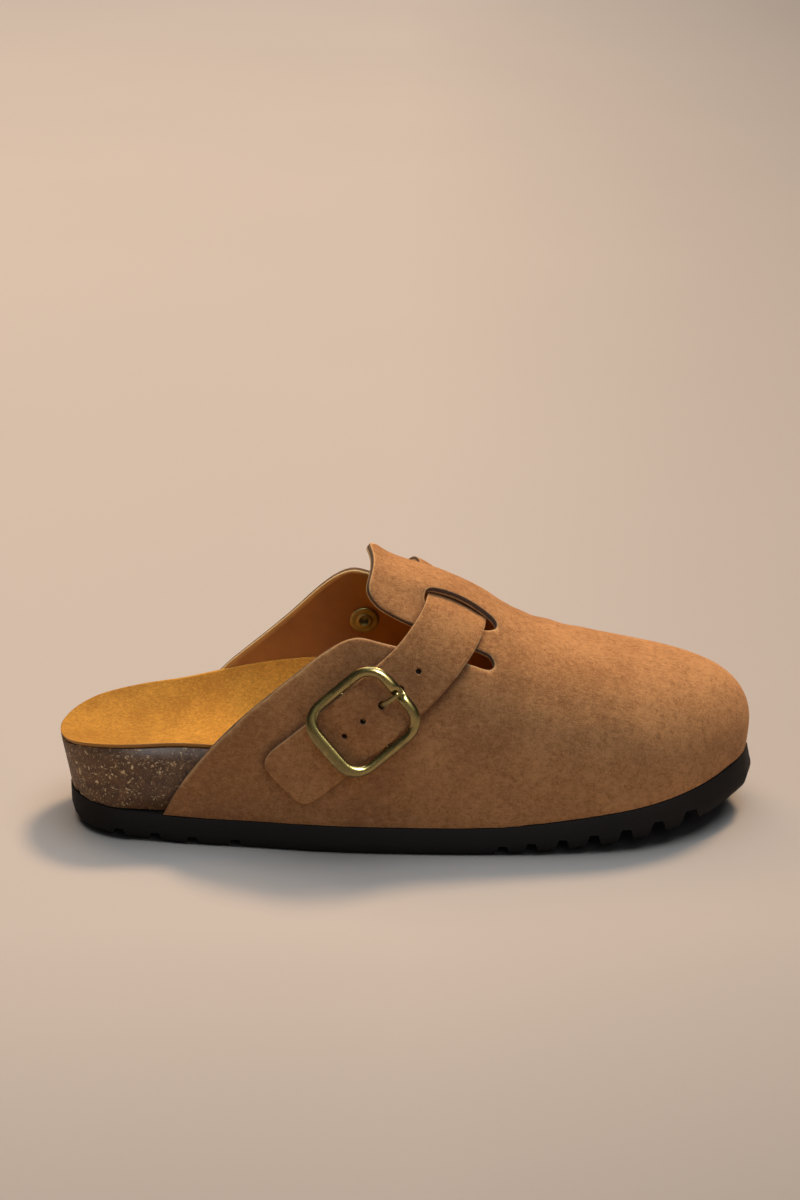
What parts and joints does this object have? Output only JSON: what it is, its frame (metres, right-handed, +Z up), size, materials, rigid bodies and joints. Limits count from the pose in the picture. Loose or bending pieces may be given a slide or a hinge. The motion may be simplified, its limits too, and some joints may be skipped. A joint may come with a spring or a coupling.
{
  "type": "clog mule",
  "caption": "Closed-toe, open-back suede clog mule for the right foot, with a cupped cork footbed, a lugged rubber sole and a buckled strap over the instep.",
  "frame": {"origin": "on the floor, under the middle of the shoe's bounding box", "axes": "+X from heel to toe, +Y towards the inner side of the foot, +Z up"},
  "size_m": [0.2624, 0.098, 0.1064],
  "materials": {
    "outsole": "matt black moulded rubber",
    "cork": "pressed cork with pale specks, sealed and slightly glossy",
    "insole": "golden tan suede lining",
    "upper": "tan brown suede with a soft nap, smooth brown inside",
    "strap": "tan brown suede",
    "buckle": "antique brass, rubbed bright on its ridges",
    "buckle_bar": "antique brass",
    "buckle_prong": "antique brass",
    "rivet": "antique brass"
  },
  "bodies": {
    "root": {"outsole": "outsole", "cork_footbed": "cork", "insole": "insole", "upper": "upper", "strap": "strap", "buckle_frame": "buckle", "buckle_bar": "buckle_bar", "buckle_prong": "buckle_prong", "rivet": "rivet"}
  },
  "joints": []
}
